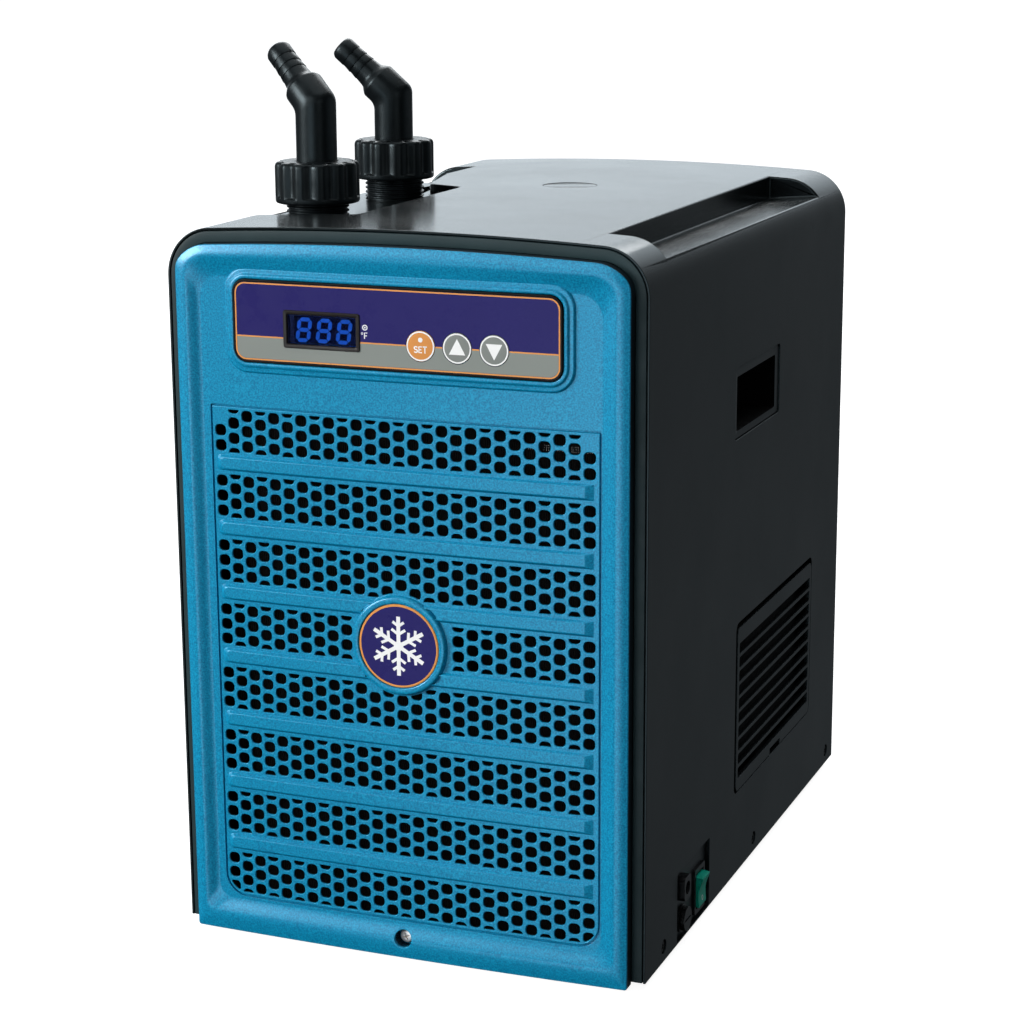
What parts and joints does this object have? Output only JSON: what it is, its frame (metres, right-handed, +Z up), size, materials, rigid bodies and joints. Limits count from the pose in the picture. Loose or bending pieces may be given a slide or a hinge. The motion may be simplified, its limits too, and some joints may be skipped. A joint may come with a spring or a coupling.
{
  "type": "water chiller",
  "caption": "Upright water chiller: black plastic cover, perforated blue front panel with display and keys, and two swivelling hose barbs on top.",
  "frame": {"origin": "on the floor under the rubber feet, below the middle of the whole width and depth", "axes": "+X to the right seen from the front, +Y to the back, +Z up; the front panel faces -Y"},
  "size_m": [0.263, 0.39, 0.4669],
  "materials": {
    "casing_black": "fine textured black plastic",
    "bezel_grey": "smooth satin dark grey plastic",
    "panel_blue": "metallic blue paint with fine sparkle",
    "emblem_print": "printed disc, navy and white",
    "label_print": "printed polyester, navy and grey with orange lines",
    "seal_black": "matte rubber",
    "display_black": "glossy black",
    "display_blue": "lit blue segments on a dark block",
    "display_lens": "smoked clear window",
    "key_orange": "printed orange",
    "key_grey": "printed grey",
    "board_green": "solder mask",
    "bright_steel": "polished screw head",
    "black_steel": "black oxide",
    "tray_steel": "dark coated sheet",
    "foot_rubber": "matte rubber",
    "gland_black": "moulded black nylon",
    "rocker_green": "translucent green",
    "fitting_black": "semi-gloss black plastic",
    "barrel_white": "moulded white plastic",
    "titanium": "drawn tube",
    "compressor_black": "black enamel on pressed steel",
    "fin_aluminium": "black coated thin fins and tube",
    "duct_plastic": "moulded duct",
    "motor_steel": "painted can",
    "fan_plastic": "moulded blades",
    "shaft_steel": "ground steel",
    "copper": "drawn copper tube",
    "box_grey": "moulded box",
    "lead_black": "cable jacket"
  },
  "bodies": {
    "chassis": {"casing_cover": "casing_black", "front_bezel": "bezel_grey", "front_panel": "panel_blue", "emblem_disc": "emblem_print", "control_label": "label_print", "label_gasket": "seal_black", "display_bezel": "display_black", "display_module": "display_blue", "display_window": "display_lens", "control_board": "board_green", "front_screw": "bright_steel", "base_tray": "tray_steel", "rubber_feet": "foot_rubber", "side_screws": "black_steel", "rear_panel": "casing_black", "rear_screws": "black_steel", "right_grip_cup": "casing_black", "left_grip_cup": "casing_black", "top_plug": "casing_black", "switch_plate": "casing_black", "cord_gland": "gland_black", "switch_frame": "gland_black", "fuse_holder": "gland_black", "front_bulkhead": "fitting_black", "rear_bulkhead": "fitting_black", "bulkhead_seals": "seal_black", "union_gaskets": "seal_black", "exchanger_barrel": "barrel_white", "exchanger_coil": "titanium", "barrel_stand": "tray_steel", "barrel_clamps": "tray_steel", "temperature_probe": "shaft_steel", "compressor": "compressor_black", "compressor_mounts": "foot_rubber", "terminal_cover": "box_grey", "condenser_tube": "fin_aluminium", "condenser_fins": "fin_aluminium", "fan_shroud": "duct_plastic", "fan_motor": "motor_steel", "filter_drier": "copper", "discharge_pipe": "copper", "liquid_pipe": "copper", "capillary_tube": "copper", "suction_pipe": "copper", "power_box": "box_grey", "control_lead": "lead_black", "mains_lead": "lead_black"},
    "set_key": {"set_key": "key_orange"},
    "up_key": {"up_key": "key_grey"},
    "down_key": {"down_key": "key_grey"},
    "switch_rocker": {"switch_rocker": "rocker_green"},
    "fuse_cap": {"fuse_cap": "gland_black"},
    "front_nut": {"front_union_nut": "fitting_black"},
    "rear_nut": {"rear_union_nut": "fitting_black"},
    "front_elbow": {"front_hose_elbow": "fitting_black"},
    "rear_elbow": {"rear_hose_elbow": "fitting_black"},
    "fan": {"fan_impeller": "fan_plastic", "fan_shaft": "shaft_steel"},
    "right_vent": {"right_vent_panel": "casing_black"},
    "left_vent": {"left_vent_panel": "casing_black"}
  },
  "joints": [
    {"name": "set_key_press", "type": "slide", "parent": "chassis", "child": "set_key", "axis": [0, 1, 0], "range_m": [0, 0.0004], "stiffness_N_per_m": 900},
    {"name": "up_key_press", "type": "slide", "parent": "chassis", "child": "up_key", "axis": [0, 1, 0], "range_m": [0, 0.0004], "stiffness_N_per_m": 900},
    {"name": "down_key_press", "type": "slide", "parent": "chassis", "child": "down_key", "axis": [0, 1, 0], "range_m": [0, 0.0004], "stiffness_N_per_m": 900},
    {"name": "switch_tilt", "type": "hinge", "parent": "chassis", "child": "switch_rocker", "pos_m": [0.1264, -0.0894, 0.0199], "axis": [0, -1, 0], "range_deg": [0, 14]},
    {"name": "fuse_cap_turn", "type": "hinge", "parent": "chassis", "child": "fuse_cap", "pos_m": [0.1296, -0.118, 0.0137], "axis": [1, 0, 0], "range_deg": [0, 90]},
    {"name": "front_nut_turn", "type": "hinge", "parent": "chassis", "child": "front_nut", "pos_m": [-0.092, -0.086, 0.394], "axis": [0, 0, 1], "continuous": true},
    {"name": "rear_nut_turn", "type": "hinge", "parent": "chassis", "child": "rear_nut", "pos_m": [-0.092, 0.0155, 0.397], "axis": [0, 0, 1], "continuous": true},
    {"name": "front_elbow_swivel", "type": "hinge", "parent": "chassis", "child": "front_elbow", "pos_m": [-0.092, -0.086, 0.414], "axis": [0, 0, 1], "continuous": true},
    {"name": "rear_elbow_swivel", "type": "hinge", "parent": "chassis", "child": "rear_elbow", "pos_m": [-0.092, 0.0155, 0.414], "axis": [0, 0, 1], "continuous": true},
    {"name": "fan_spin", "type": "hinge", "parent": "chassis", "child": "fan", "pos_m": [0.02, -0.13, 0.14], "axis": [0, 1, 0], "continuous": true},
    {"name": "right_vent_pull", "type": "slide", "parent": "chassis", "child": "right_vent", "axis": [1, 0, 0], "range_m": [0, 0.05]},
    {"name": "left_vent_pull", "type": "slide", "parent": "chassis", "child": "left_vent", "axis": [-1, 0, 0], "range_m": [0, 0.05]}
  ]
}
